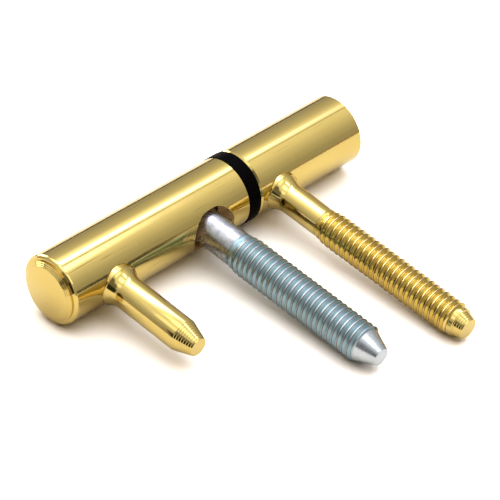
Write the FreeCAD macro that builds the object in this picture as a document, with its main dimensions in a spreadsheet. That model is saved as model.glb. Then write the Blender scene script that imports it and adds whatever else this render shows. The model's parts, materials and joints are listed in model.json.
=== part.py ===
import FreeCAD, Part
import os
import Sketcher

# Drill-in hinge with a bored, adjustable leaf side, lying on a flat surface.
# Each piece is drawn in the barrel's own frame: the barrel's axis is X, the leaf's end that meets the
# bearing ring is at x = 0, and the pins point along -Y. A Placement then lays the hinge down so that
# the ring and the ends of both threads rest on z = 0.

# Driving dimensions in millimetres
SIZES = {
    # barrels and the ring between them
    "barrel_diameter": 16.0,
    "leaf_length": 52.0,
    "frame_length": 31.6,
    "ring_width": 3.5,
    "ring_proud": 0.15,
    "ring_chamfer": 0.3,
    "frame_chamfer_length": 0.9,
    "frame_chamfer_depth": 0.6,
    # turned end of the leaf barrel
    "end_cone_length": 0.68,
    "end_cone_depth": 1.07,
    "end_step_length": 0.3,
    "end_step_depth": 0.46,
    "end_chamfer": 0.51,
    # fits
    "running_clearance": 0.05,
    "running_gap": 0.05,
    # seats and flared feet of the fixed pins
    "seat_depth": 1.8,
    "seat_clearance": 0.1,
    "lip_width": 0.9,
    "lip_height": 2.25,
    "flare_length": 2.0,
    # guide pin
    "guide_end_distance": 13.5,
    "guide_diameter": 7.4,
    "guide_length": 18.7,
    "guide_cone_length": 4.6,
    "guide_tip_diameter": 4.35,
    "spigot_diameter": 5.5,
    "spigot_length": 4.2,
    # adjusting screw and its cross bore
    "adjuster_distance": 10.7,
    "adjuster_shank_diameter": 7.9,
    "adjuster_shank_length": 7.2,
    "adjuster_thread_diameter": 8.9,
    "adjuster_thread_length": 37.2,
    "adjuster_cone_length": 4.5,
    "adjuster_cone_diameter": 7.7,
    "adjuster_tip_diameter": 4.2,
    "cross_bore_diameter": 10.2,
    "cross_bore_floor": 3.1,
    "mouth_widening": 0.8,
    "mouth_depth": 4.0,
    "head_length": 4.0,
    "head_socket_width": 5.0,
    "head_socket_depth": 2.5,
    "key_hole_diameter": 6.2,
    # retaining ring in front of the screw's head
    "clip_thickness": 1.0,
    "clip_groove_depth": 0.5,
    "clip_width": 1.2,
    "clip_opening_angle": 50.0,
    # hinge pin, its bush and the thrust button
    "pin_wall": 1.0,
    "pin_root_diameter": 9.0,
    "pin_diameter": 7.0,
    "pin_edge": 0.4,
    "bush_diameter": 9.0,
    "bush_end_distance": 0.9,
    "button_diameter": 5.0,
    "button_length": 3.5,
    "button_seat_diameter": 4.0,
    # height screw in the frame barrel's end
    "height_screw_diameter": 10.0,
    "height_screw_length": 7.0,
    "height_screw_chamfer": 0.8,
    "height_screw_recess": 1.0,
    "height_travel": 3.0,
    "height_travel_spare": 0.6,
    "height_socket_width": 5.0,
    "height_socket_depth": 4.0,
    # frame screw
    "frame_screw_distance": 6.7,
    "frame_shank_diameter": 6.72,
    "frame_shank_length": 12.5,
    "frame_thread_diameter": 7.75,
    "frame_thread_length": 38.4,
    "frame_cone_length": 3.6,
    "frame_cone_diameter": 6.8,
    "frame_tip_diameter": 4.8,
    # run-in and run-out of both threads
    "thread_chamfer": 0.5,
}

# Lines and radii that several pieces share, as expressions of the sheet's cells
BARREL_RADIUS = "(sizes.barrel_diameter / 2)"
RING_RADIUS = f"({BARREL_RADIUS} + sizes.ring_proud)"
LEAF_END = "(-sizes.leaf_length)"
FRAME_START = "sizes.ring_width"
FRAME_END = "(sizes.ring_width + sizes.frame_length)"
GUIDE_X = "(sizes.guide_end_distance - sizes.leaf_length)"
ADJUSTER_X = "(-sizes.adjuster_distance)"
FRAME_SCREW_X = "(sizes.ring_width + sizes.frame_screw_distance)"
SEAT = f"({BARREL_RADIUS} - sizes.seat_depth)"
CROSS_BORE_RADIUS = "(sizes.cross_bore_diameter / 2)"
PIN_ROOT = "(sizes.adjuster_distance - sizes.cross_bore_diameter / 2 - sizes.pin_wall)"
PIN_ROOT_RADIUS = "(sizes.pin_root_diameter / 2)"
PIN_RADIUS = "(sizes.pin_diameter / 2)"
BUSH_RADIUS = "(sizes.bush_diameter / 2)"
HEIGHT_SCREW_RIGHT = f"({FRAME_END} - sizes.height_screw_recess)"
HEIGHT_SCREW_LEFT = f"({HEIGHT_SCREW_RIGHT} - sizes.height_screw_length)"
HEIGHT_BORE_LEFT = f"({HEIGHT_SCREW_LEFT} - sizes.height_travel - sizes.height_travel_spare)"
BUTTON_BACK = f"({HEIGHT_SCREW_LEFT} - sizes.running_gap)"
BUTTON_NECK = f"({BUTTON_BACK} - sizes.button_length)"
BUTTON_TIP = f"({BUTTON_NECK} - sizes.button_diameter / 2)"
# the button's right-angled nose lies a running gap clear of its seat in the pin's end
PIN_SEAT = f"({BUTTON_TIP} - sizes.running_gap * sqrt(2))"
PIN_END = f"({PIN_SEAT} + sizes.button_seat_diameter / 2)"
BUSH_END = f"({PIN_END} - sizes.bush_end_distance)"
HEAD_BACK = "(sizes.cross_bore_floor - sizes.running_gap)"
HEAD_FRONT = f"({HEAD_BACK} - sizes.head_length)"
CLIP_BACK = f"({HEAD_FRONT} - sizes.running_gap)"
CLIP_FRONT = f"({CLIP_BACK} - sizes.clip_thickness)"
CLIP_RADIUS = f"({CROSS_BORE_RADIUS} + sizes.clip_groove_depth)"
ADJUSTER_THREAD_END = (
    f"({BARREL_RADIUS} + sizes.adjuster_shank_length + sizes.adjuster_thread_length)"
)
FRAME_THREAD_END = f"({BARREL_RADIUS} + sizes.frame_shank_length + sizes.frame_thread_length)"
FRAME_SCREW_TIP = f"({FRAME_THREAD_END} + sizes.frame_cone_length)"


def resting_tilt(thread_end, thread_diameter):
    """Angle by which a pin drops until the last full turn of its thread meets the surface."""
    reach = f"({thread_end} - sizes.thread_chamfer)"
    return (
        f"asin({RING_RADIUS} / sqrt({reach}^2 + ({thread_diameter} / 2)^2))"
        f" - atan({thread_diameter} / 2 / {reach})"
    )


LEAF_TILT = f"({resting_tilt(ADJUSTER_THREAD_END, 'sizes.adjuster_thread_diameter')})"
FRAME_TILT = f"({resting_tilt(FRAME_THREAD_END, 'sizes.frame_thread_diameter')})"
# the box of the whole hinge is centred on the origin in plan
CENTRE_X = "((sizes.leaf_length - sizes.ring_width - sizes.frame_length) / 2)"
CENTRE_Y = (
    f"(({FRAME_SCREW_TIP} * cos({FRAME_TILT}) + sizes.frame_tip_diameter / 2 * sin({FRAME_TILT})"
    f" - {RING_RADIUS}) / 2)"
)

doc = FreeCAD.newDocument("drill_in_hinge")
sheet = doc.addObject("Spreadsheet::Sheet", "sizes")
for row, (alias, size) in enumerate(SIZES.items(), start=1):
    sheet.set(f"A{row}", alias)
    sheet.set(f"B{row}", str(size))
    sheet.setAlias(f"B{row}", alias)
doc.recompute()


def number(expression):
    """Value of an expression, as a plain number."""
    return float(sheet.evalExpression(expression))


def new_body(name, tilt, along="0"):
    """Body with its origin on the barrel's axis, at the given place along it, laid down by the tilt."""
    body = doc.addObject("PartDesign::Body", name)
    body.Label = name
    x_axis = FreeCAD.Vector(1, 0, 0)
    body.Placement = FreeCAD.Placement(FreeCAD.Vector(), FreeCAD.Rotation(x_axis, 1))
    body.setExpression("Placement.Rotation.Angle", tilt)
    body.setExpression("Placement.Base.x", f"{CENTRE_X} + {along}")
    body.setExpression("Placement.Base.y", CENTRE_Y)
    body.setExpression("Placement.Base.z", RING_RADIUS)
    return body


def draw_outline(body, name, plane, corners, offset=None):
    """Closed outline on an origin plane. A corner is (x, y), or (x, y, centre x, centre y) where the
    next edge is an arc. All are expressions, and offset is (property of the attachment, expression)."""
    sketch = body.newObject("Sketcher::SketchObject", name)
    support = next(item for item in body.Origin.OriginFeatures if item.Role == plane)
    sketch.AttachmentSupport = [(support, "")]
    sketch.MapMode = "FlatFace"
    if offset:
        sketch.setExpression(f"AttachmentOffset.Base.{offset[0]}", offset[1])
    points = [FreeCAD.Vector(number(corner[0]), number(corner[1]), 0) for corner in corners]
    first_ends = []
    for index, corner in enumerate(corners):
        start = points[index]
        end = points[(index + 1) % len(points)]
        if len(corner) == 2:
            sketch.addGeometry(Part.LineSegment(start, end), False)
            first_ends.append(1)
            continue
        centre = FreeCAD.Vector(number(corner[2]), number(corner[3]), 0)
        turns_left = (start - centre).cross(end - centre).z > 0
        low, high = (start, end) if turns_left else (end, start)
        circle = Part.Circle(centre, FreeCAD.Vector(0, 0, 1), (start - centre).Length)
        sketch.addGeometry(Part.ArcOfCircle(circle, circle.parameter(low), circle.parameter(high)), False)
        first_ends.append(1 if turns_left else 2)
    for index, corner in enumerate(corners):
        following = (index + 1) % len(corners)
        sketch.addConstraint(
            Sketcher.Constraint("Coincident", index, 3 - first_ends[index], following, first_ends[following])
        )
        fix_point(sketch, index, first_ends[index], corner[:2])
        if len(corner) == 4:
            fix_point(sketch, index, 3, corner[2:3])
    return sketch


def fix_point(sketch, edge, vertex, place):
    """Tie a sketch point to the expressions of its place. A zero puts it on the axis."""
    for kind, axis, expression in zip(("DistanceX", "DistanceY"), (-2, -1), place):
        if expression == "0":
            sketch.addConstraint(Sketcher.Constraint("PointOnObject", edge, vertex, axis))
            continue
        constraint = Sketcher.Constraint(kind, -1, 1, edge, vertex, number(expression))
        index = sketch.addConstraint(constraint)
        sketch.setExpression(f"Constraints[{index}]", expression)


def spin(body, name, corners, axis, feature="Revolution", along=None, angle=None):
    """Turned solid, or turned cut, of an outline in the XY plane about the sketch's own axis."""
    offset = ("x", along) if along else None
    sketch = draw_outline(body, f"{name}_outline", "XY_Plane", corners, offset)
    turned = body.newObject(f"PartDesign::{feature}", name)
    turned.Profile = sketch
    turned.ReferenceAxis = (sketch, [axis])
    turned.Angle = 360
    if angle:
        turned.Midplane = True
        turned.setExpression("Angle", angle)
    doc.recompute()


def sink(body, name, plane, corners, level, depth, along_normal):
    """Pocket of the given depth from a level on the plane's normal."""
    sketch = draw_outline(body, f"{name}_outline", plane, corners, ("z", level))
    before = body.Shape.Volume
    pocket = body.newObject("PartDesign::Pocket", name)
    pocket.Profile = sketch
    pocket.Reversed = along_normal
    pocket.setExpression("Length", depth)
    doc.recompute()
    if body.Shape.Volume >= before:
        raise RuntimeError(f"{name} cuts nothing")


def hexagon(width):
    """Corners of a hexagonal key socket of the given width across its flats."""
    point = f"{width} / sqrt(3)"
    shoulder = f"{width} / 2 / sqrt(3)"
    half = f"{width} / 2"
    return [
        (point, "0"),
        (shoulder, half),
        (f"-({shoulder})", half),
        (f"-({point})", "0"),
        (f"-({shoulder})", f"-({half})"),
        (shoulder, f"-({half})"),
    ]


def flared_foot(shank_diameter):
    """Corners of a fixed pin's foot, from its seat out to the shank, radius first."""
    shank = f"({shank_diameter} / 2)"
    lip = f"({shank} + sizes.lip_width)"
    lip_top = f"({SEAT} + sizes.lip_height)"
    flare_end = f"({lip_top} + sizes.flare_length)"
    bend = "((sizes.flare_length^2 + sizes.lip_width^2) / 4 / sizes.lip_width)"
    middle = (f"{shank} + sizes.lip_width / 2", f"-({lip_top} + sizes.flare_length / 2)")
    return [
        (lip, f"-{SEAT}"),
        (lip, f"-{lip_top}"),
        (*middle, f"{shank} + {bend}", f"-{flare_end}"),
        (shank, f"-{flare_end}"),
    ]


def thread_and_cone(shank_diameter, thread_diameter, thread_end, length, cone, cone_diameter, tip_diameter):
    """Corners of a screw from the end of its plain shank to the middle of its flat tip."""
    thread_start = f"({thread_end} - {length})"
    tip = f"({thread_end} + {cone})"
    return [
        (f"{shank_diameter} / 2", f"-{thread_start}"),
        (f"{thread_diameter} / 2", f"-({thread_start} + sizes.thread_chamfer)"),
        (f"{thread_diameter} / 2", f"-({thread_end} - sizes.thread_chamfer)"),
        (f"{cone_diameter} / 2", f"-{thread_end}"),
        (f"{tip_diameter} / 2", f"-{tip}"),
        ("0", f"-{tip}"),
    ]


def make_leaf_barrel():
    """Solid bar with a stepped end, the pin's hole, the guide pin's seat and the screw's cross bore."""
    body = new_body("leaf_barrel", LEAF_TILT)
    cone_end = f"{LEAF_END} + sizes.end_cone_length"
    step = f"{cone_end} + sizes.end_step_length"
    chamfer_low = f"{BARREL_RADIUS} - sizes.end_chamfer"
    step_low = f"{chamfer_low} - sizes.end_step_depth"
    bar = [
        (LEAF_END, "0"),
        (LEAF_END, f"{step_low} - sizes.end_cone_depth"),
        (cone_end, step_low),
        (step, step_low),
        (step, chamfer_low),
        (f"{step} + sizes.end_chamfer", BARREL_RADIUS),
        ("0", BARREL_RADIUS),
        ("0", PIN_ROOT_RADIUS),
        (f"-{PIN_ROOT}", PIN_ROOT_RADIUS),
        (f"-{PIN_ROOT}", "0"),
    ]
    spin(body, "bar", bar, "H_Axis")
    guide_seat = [
        ("0", f"-{SEAT} + sizes.spigot_length"),
        ("sizes.spigot_diameter / 2", f"-{SEAT} + sizes.spigot_length"),
        ("sizes.spigot_diameter / 2", f"-{SEAT}"),
        ("sizes.guide_diameter / 2 + sizes.lip_width + sizes.seat_clearance", f"-{SEAT}"),
        ("sizes.guide_diameter / 2 + sizes.lip_width + sizes.seat_clearance", "-sizes.barrel_diameter"),
        ("0", "-sizes.barrel_diameter"),
    ]
    spin(body, "guide_seat", guide_seat, "V_Axis", "Groove", GUIDE_X)
    cross_bore = [
        ("0", "sizes.barrel_diameter"),
        ("sizes.key_hole_diameter / 2", "sizes.barrel_diameter"),
        ("sizes.key_hole_diameter / 2", "sizes.cross_bore_floor"),
        (CROSS_BORE_RADIUS, "sizes.cross_bore_floor"),
        (CROSS_BORE_RADIUS, CLIP_BACK),
        (CLIP_RADIUS, CLIP_BACK),
        (CLIP_RADIUS, CLIP_FRONT),
        (CROSS_BORE_RADIUS, CLIP_FRONT),
        (CROSS_BORE_RADIUS, "-sizes.barrel_diameter"),
        ("0", "-sizes.barrel_diameter"),
    ]
    spin(body, "cross_bore", cross_bore, "V_Axis", "Groove", ADJUSTER_X)
    left = f"{ADJUSTER_X} - sizes.mouth_widening"
    right = f"{ADJUSTER_X} + sizes.mouth_widening"
    mouth = [
        (left, f"-{CROSS_BORE_RADIUS}"),
        (right, f"-{CROSS_BORE_RADIUS}", right, "0"),
        (f"{right} + {CROSS_BORE_RADIUS}", "0", right, "0"),
        (right, CROSS_BORE_RADIUS),
        (left, CROSS_BORE_RADIUS, left, "0"),
        (f"{left} - {CROSS_BORE_RADIUS}", "0", left, "0"),
    ]
    sink(body, "mouth", "XZ_Plane", mouth, f"{BARREL_RADIUS} - sizes.mouth_depth", "sizes.barrel_diameter", True)
    return body


def make_guide_pin():
    """Plain pin with a spigot, a flared foot and a blunt cone."""
    body = new_body("guide_pin", LEAF_TILT, GUIDE_X)
    cone_start = f"({BARREL_RADIUS} + sizes.guide_length)"
    tip = f"({cone_start} + sizes.guide_cone_length)"
    pin = [
        ("0", f"-{SEAT} + sizes.spigot_length"),
        ("sizes.spigot_diameter / 2", f"-{SEAT} + sizes.spigot_length"),
        ("sizes.spigot_diameter / 2", f"-{SEAT}"),
        *flared_foot("sizes.guide_diameter"),
        ("sizes.guide_diameter / 2", f"-{cone_start}"),
        ("sizes.guide_tip_diameter / 2", f"-{tip}"),
        ("0", f"-{tip}"),
    ]
    spin(body, "pin", pin, "V_Axis")
    return body


def make_adjusting_screw():
    """Captive screw: a headed shank that turns in the cross bore, with a key socket at the back."""
    body = new_body("adjusting_screw", LEAF_TILT, ADJUSTER_X)
    head = f"({CROSS_BORE_RADIUS} - sizes.running_clearance)"
    screw = [
        ("0", HEAD_BACK),
        (head, HEAD_BACK),
        (head, HEAD_FRONT),
        ("sizes.adjuster_shank_diameter / 2", HEAD_FRONT),
        *thread_and_cone(
            "sizes.adjuster_shank_diameter",
            "sizes.adjuster_thread_diameter",
            ADJUSTER_THREAD_END,
            "sizes.adjuster_thread_length",
            "sizes.adjuster_cone_length",
            "sizes.adjuster_cone_diameter",
            "sizes.adjuster_tip_diameter",
        ),
    ]
    spin(body, "screw", screw, "V_Axis")
    socket = hexagon("sizes.head_socket_width")
    sink(body, "socket", "XZ_Plane", socket, f"-{HEAD_BACK}", "sizes.head_socket_depth", True)
    return body


def make_retaining_clip():
    """Split ring in the cross bore's groove, which keeps the screw's head in."""
    body = new_body("retaining_clip", LEAF_TILT, ADJUSTER_X)
    inner = f"{CLIP_RADIUS} - sizes.clip_width"
    section = [
        (inner, CLIP_FRONT),
        (CLIP_RADIUS, CLIP_FRONT),
        (CLIP_RADIUS, CLIP_BACK),
        (inner, CLIP_BACK),
    ]
    spin(body, "clip", section, "V_Axis", angle="360 - sizes.clip_opening_angle")
    return body


def make_hinge_pin():
    """Stepped pin: the root is pressed into the leaf barrel and the journal runs in the bush."""
    body = new_body("hinge_pin", LEAF_TILT)
    pin = [
        (f"-{PIN_ROOT}", "0"),
        (f"-{PIN_ROOT}", PIN_ROOT_RADIUS),
        ("0", PIN_ROOT_RADIUS),
        ("0", PIN_RADIUS),
        (f"{PIN_END} - sizes.pin_edge", PIN_RADIUS),
        (PIN_END, f"{PIN_RADIUS} - sizes.pin_edge"),
        (PIN_END, "sizes.button_seat_diameter / 2"),
        (PIN_SEAT, "0"),
    ]
    spin(body, "pin", pin, "H_Axis")
    return body


def make_bearing_bush():
    """Flanged bush: the flange is the ring that shows between the barrels."""
    body = new_body("bearing_bush", FRAME_TILT)
    bore = f"{PIN_RADIUS} + sizes.running_clearance"
    ring_low = f"{RING_RADIUS} - sizes.ring_chamfer"
    bush = [
        ("sizes.running_gap", bore),
        ("sizes.running_gap", ring_low),
        ("sizes.running_gap + sizes.ring_chamfer", RING_RADIUS),
        (f"{FRAME_START} - sizes.ring_chamfer", RING_RADIUS),
        (FRAME_START, ring_low),
        (FRAME_START, BUSH_RADIUS),
        (BUSH_END, BUSH_RADIUS),
        (BUSH_END, bore),
    ]
    spin(body, "bush", bush, "H_Axis")
    return body


def make_frame_barrel():
    """Tube bored for the bush from one end and for the height screw from the other."""
    body = new_body("frame_barrel", FRAME_TILT)
    height_bore = "sizes.height_screw_diameter / 2"
    tube = [
        (FRAME_START, BUSH_RADIUS),
        (FRAME_START, f"{BARREL_RADIUS} - sizes.frame_chamfer_depth"),
        (f"{FRAME_START} + sizes.frame_chamfer_length", BARREL_RADIUS),
        (FRAME_END, BARREL_RADIUS),
        (FRAME_END, height_bore),
        (HEIGHT_BORE_LEFT, height_bore),
        (HEIGHT_BORE_LEFT, BUSH_RADIUS),
    ]
    spin(body, "tube", tube, "H_Axis")
    seat_radius = "sizes.frame_shank_diameter / 2 + sizes.lip_width + sizes.seat_clearance"
    screw_seat = [
        ("0", f"-{SEAT}"),
        (seat_radius, f"-{SEAT}"),
        (seat_radius, "-sizes.barrel_diameter"),
        ("0", "-sizes.barrel_diameter"),
    ]
    spin(body, "screw_seat", screw_seat, "V_Axis", "Groove", FRAME_SCREW_X)
    return body


def make_frame_screw():
    """Long screw fixed to the frame barrel by its flared foot."""
    body = new_body("frame_screw", FRAME_TILT, FRAME_SCREW_X)
    screw = [
        ("0", f"-{SEAT}"),
        *flared_foot("sizes.frame_shank_diameter"),
        *thread_and_cone(
            "sizes.frame_shank_diameter",
            "sizes.frame_thread_diameter",
            FRAME_THREAD_END,
            "sizes.frame_thread_length",
            "sizes.frame_cone_length",
            "sizes.frame_cone_diameter",
            "sizes.frame_tip_diameter",
        ),
    ]
    spin(body, "screw", screw, "V_Axis")
    return body


def make_thrust_button():
    """Button with a coned nose in the pin's end and a flat back on the height screw."""
    body = new_body("thrust_button", FRAME_TILT)
    button = [
        (BUTTON_TIP, "0"),
        (BUTTON_NECK, "sizes.button_diameter / 2"),
        (BUTTON_BACK, "sizes.button_diameter / 2"),
        (BUTTON_BACK, "0"),
    ]
    spin(body, "button", button, "H_Axis")
    return body


def make_height_screw():
    """Headless screw in the frame barrel's end, with a key socket."""
    body = new_body("height_screw", FRAME_TILT)
    radius = "(sizes.height_screw_diameter / 2 - sizes.running_clearance)"
    low = f"{radius} - sizes.height_screw_chamfer"
    screw = [
        (HEIGHT_SCREW_LEFT, "0"),
        (HEIGHT_SCREW_LEFT, low),
        (f"{HEIGHT_SCREW_LEFT} + sizes.height_screw_chamfer", radius),
        (f"{HEIGHT_SCREW_RIGHT} - sizes.height_screw_chamfer", radius),
        (HEIGHT_SCREW_RIGHT, low),
        (HEIGHT_SCREW_RIGHT, "0"),
    ]
    spin(body, "screw", screw, "H_Axis")
    socket = hexagon("sizes.height_socket_width")
    sink(body, "socket", "YZ_Plane", socket, HEIGHT_SCREW_RIGHT, "sizes.height_socket_depth", False)
    return body


pieces = [
    make_leaf_barrel(),
    make_guide_pin(),
    make_adjusting_screw(),
    make_retaining_clip(),
    make_hinge_pin(),
    make_bearing_bush(),
    make_frame_barrel(),
    make_frame_screw(),
    make_thrust_button(),
    make_height_screw(),
]
doc.recompute()

for item in doc.Objects:
    if "Invalid" in item.State or "Error" in item.State:
        raise RuntimeError(f"{item.Label} did not build")
for piece in pieces:
    if piece.Shape.isNull() or not piece.Shape.isValid():
        raise RuntimeError(f"{piece.Label} has no valid shape")

os.makedirs("parts", exist_ok=True)
for piece in pieces:
    piece.Shape.exportStep(f"parts/{piece.Label}.step")
    box = piece.Shape.BoundBox
    print(f"{piece.Label}: {piece.Shape.Volume:.1f} mm3, x {box.XMin:.2f} to {box.XMax:.2f}, "
          f"y {box.YMin:.2f} to {box.YMax:.2f}, z {box.ZMin:.2f} to {box.ZMax:.2f}")
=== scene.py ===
import json
import math

import bmesh
import bpy
from mathutils import Matrix, Vector


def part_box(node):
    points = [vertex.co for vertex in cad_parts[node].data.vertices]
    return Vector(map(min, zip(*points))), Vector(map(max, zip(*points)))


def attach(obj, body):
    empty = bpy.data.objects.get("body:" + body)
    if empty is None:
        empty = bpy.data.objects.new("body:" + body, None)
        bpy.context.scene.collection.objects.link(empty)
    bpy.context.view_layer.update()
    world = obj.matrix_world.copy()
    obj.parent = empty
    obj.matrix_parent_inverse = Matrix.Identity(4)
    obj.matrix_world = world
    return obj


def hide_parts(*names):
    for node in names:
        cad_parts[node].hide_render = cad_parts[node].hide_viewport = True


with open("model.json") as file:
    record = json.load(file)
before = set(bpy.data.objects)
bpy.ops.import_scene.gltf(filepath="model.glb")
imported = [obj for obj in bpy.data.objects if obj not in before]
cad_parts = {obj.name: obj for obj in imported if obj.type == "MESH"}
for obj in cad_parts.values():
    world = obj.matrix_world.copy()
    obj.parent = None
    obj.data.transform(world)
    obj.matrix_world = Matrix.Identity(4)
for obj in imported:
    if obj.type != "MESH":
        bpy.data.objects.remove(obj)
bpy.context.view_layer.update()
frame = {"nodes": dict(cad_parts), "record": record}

# Sizes in millimetres, in the barrel's own frame: X runs along the barrel with the leaf's ring face at
# zero, the pins point along -Y, and "out" is a distance from the barrel's axis along a pin.
# A span is (start, end), an edge of a barrel is (length, depth), a neck or collar is (length, radius),
# and a cone is (length, radius at its base, radius at its tip).
MILLIMETRE = 0.001
BARREL_RADIUS = 8.0
LEAF_LENGTH = 52.0
RING_WIDTH = 3.5
RING_RADIUS = 8.15
RING_ROUND = 0.3
FRAME_END = 35.1
FRAME_CHAMFER = (0.6, 0.5)
END_CONE = (0.68, 1.07)
END_STEP = (0.3, 0.46)
END_CHAMFER = 0.51
END_BEVEL = (0.32, 0.13)
RUNNING_GAP = 0.05
EDGE = 0.12
POLISH_DEPTH = 0.6

SEAT = 6.2
SEAT_CLEARANCE = 0.02
LIP_WIDTH = 1.0
LIP_HEIGHT = 1.75
LIP_EDGE = 0.12
LIP_STEP = 0.1
FLARE_LENGTH = 3.0

GUIDE_X = -38.5
GUIDE_RADIUS = 3.7
GUIDE_CONE_START = 26.7
GUIDE_CONE = (4.6, GUIDE_RADIUS, 2.175)
SPIGOT_RADIUS = 2.75
SPIGOT_END = 2.0

ADJUSTER_X = -10.7
ADJUSTER_SHANK = 3.95
ADJUSTER_THREAD = 4.45
ADJUSTER_SPAN = (15.2, 52.4)
ADJUSTER_PITCH = 1.452
ADJUSTER_CREST = 37.27
ADJUSTER_CONE = (4.5, 3.85, 2.1)
BORE_RADIUS = 5.1
BORE_FLOOR = -3.1
MOUTH_WIDENING = 0.8
MOUTH_FLOOR = 4.0
HEAD_SPAN = (-3.05, 0.95)
HEAD_RADIUS = 5.05
SOCKET_WIDTH = 5.0
SOCKET_DEPTH = 2.5
KEY_HOLE_RADIUS = 3.1
GROOVE_SPAN = (1.0, 2.0)
GROOVE_RADIUS = 5.6

PIN_ROOT = -4.6
PIN_ROOT_RADIUS = 4.5
PIN_RADIUS = 3.5
PIN_END = 22.98
PIN_EDGE = 0.4
PIN_SEAT_RADIUS = 2.0
BUSH_RADIUS = 4.5
BUSH_END = 22.08
BUTTON_TIP = 21.05
BUTTON_NECK = 23.55
BUTTON_BACK = 27.05
BUTTON_RADIUS = 2.5
HEIGHT_BORE_START = 23.5
HEIGHT_BORE_RADIUS = 5.0
HEIGHT_SCREW_SPAN = (27.1, 34.1)
HEIGHT_SCREW_RADIUS = 4.95
HEIGHT_SCREW_CHAMFER = 0.8
HEIGHT_SOCKET_DEPTH = 4.0

FRAME_SCREW_X = 10.2
FRAME_SHANK = 3.36
FRAME_THREAD = 3.875
FRAME_SPAN = (20.5, 58.9)
FRAME_PITCH = 1.445
FRAME_CREST = 40.80
FRAME_NECK = (0.3, 3.12)
FRAME_COLLAR = (1.0, 3.42)
FRAME_CONE = (2.2, 3.1, 2.4)
FRAME_TIP = 3.6

# Fine grooves that a turning tool left, and how many each surface has
TOOL_WIDTH = 0.16
TOOL_DEPTH = 0.045
GUIDE_RINGS = 8
FRAME_RINGS = 4
END_RINGS = 3
RING_LINES = 5

# Rolled threads. The edge says how blunt the crest is, as a share of half a pitch. The painted highlight
# on the crest and the thin painted shade line just past it are stretches along the screw, measured from the
# crest.
THREAD_DEPTH = 0.5
THREAD_EDGE = 0.3
PAINTED_CREST_HIGHLIGHT = (-0.3, 0.06)
PAINTED_SHADE_SPAN = (0.06, 0.22)
THREAD_FADE_IN = 3.0
THREAD_FADE_OUT = 0.45

# How finely the surfaces are drawn. A block is the stretch of a barrel's wall drawn anew round its holes.
TURN = 2 * math.pi
QUARTER_TURN = math.pi / 2
HEXAGON_SIDES = 6
BARREL_COLUMNS = 192
BLOCK_COLUMNS = 30
BLOCK_STEPS = 36
BLOCK_RINGS = 8
LEAF_BLOCK_HALF = 7.4
FRAME_BLOCK_HALF = 5.4
PIN_COLUMNS = 96
ROWS_PER_PITCH = 28
FLARE_STEPS = 24
ROUND_STEPS = 6
SHARP_ANGLE = math.radians(28)
THREAD_SHARP_ANGLE = math.radians(60)
FRONT = 1
BACK = -1

# Indexes of the materials on a barrel and on a screw
# On a barrel the walls of the bores are painted paler to lift their shade, and the mouth's wall paler still
# as painted light bounced in from the screw
POLISHED, BORED, SATIN_PAINTED_LIGHT = range(3)
# On a screw the hollow is painted darker as shade, a thin band just past the crest is painted shade, the
# crest carries a painted highlight, and the zinc tip is painted lighter
PLAIN, HOLLOW, PAINTED_SHADE_LINE, CREST, TIP = range(5)

mounts = {mount["name"]: mount for mount in frame["record"]["mounts"]}
ring_low, ring_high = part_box("bearing_bush")
_, leaf_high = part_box("leaf_barrel")


def side_frame(mount):
    """Matrix of the side of the hinge that carries the mount, from millimetres to the row frame."""
    _, outward, downward = mounts[mount]["axis"]
    tilt = math.atan2(-downward, -outward)
    origin = (leaf_high[0], (ring_low[1] + ring_high[1]) / 2, (ring_low[2] + ring_high[2]) / 2)
    return Matrix.Translation(origin) @ Matrix.Rotation(tilt, 4, "X") @ Matrix.Scale(MILLIMETRE, 4)


LEAF_SIDE = side_frame("guide_pin")
FRAME_SIDE = side_frame("frame_thread")


def round_hole(radius):
    """Reach that is the same at every angle."""
    return lambda angle: radius


def oblong_hole(angle):
    """Reach of the mouth: two half circles a widening to each side of the middle."""
    cosine, sine = abs(math.cos(angle)), abs(math.sin(angle))
    if BORE_RADIUS * cosine <= MOUTH_WIDENING * sine:
        return BORE_RADIUS / sine
    return MOUTH_WIDENING * cosine + math.sqrt(BORE_RADIUS ** 2 - (MOUTH_WIDENING * sine) ** 2)


def hexagon(width):
    """Reach of a hexagon's edge by angle."""
    sector = TURN / HEXAGON_SIDES
    return lambda angle: width / 2 / math.cos((angle + sector / 2) % sector - sector / 2)


def reach_of(radius):
    """Reach by angle of a radius, which is a number or already such a function."""
    return radius if callable(radius) else round_hole(radius)


def along_barrel(along, radius, angle):
    """Place of a point turned about the barrel's axis."""
    return (along, -radius * math.cos(angle), radius * math.sin(angle))


def across_barrel(x):
    """Place of a point turned about a pin's axis, which leaves the barrel at x."""
    return lambda out, radius, angle: (x + radius * math.cos(angle), -out, radius * math.sin(angle))


class Skin:
    """Closed surface of one piece, grown ring by ring."""

    def __init__(self):
        self.points = []
        self.faces = []

    def ring(self, points):
        """Adds points and returns their indexes."""
        start = len(self.points)
        self.points.extend(points)
        return list(range(start, len(self.points)))

    def join(self, first, second):
        """Band of faces between two rings."""
        for index, corner in enumerate(first):
            following = (index + 1) % len(first)
            self.faces.append((corner, first[following], second[following], second[index]))

    def cap(self, ring):
        """One face that closes a ring."""
        self.faces.append(tuple(ring))

    def turn(self, place, profile, columns):
        """Surface of revolution through (along, radius) points. A radius may be a function of the angle."""
        rings = []
        angles = [TURN * column / columns for column in range(columns)]
        for along, radius in profile:
            reach = reach_of(radius)
            rings.append(self.ring([place(along, reach(angle), angle) for angle in angles]))
        for first, second in zip(rings, rings[1:]):
            self.join(first, second)
        return rings

    def solid_turn(self, place, profile, columns):
        """Surface of revolution that is closed at both ends."""
        rings = self.turn(place, profile, columns)
        self.cap(rings[0])
        self.cap(rings[-1])


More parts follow.
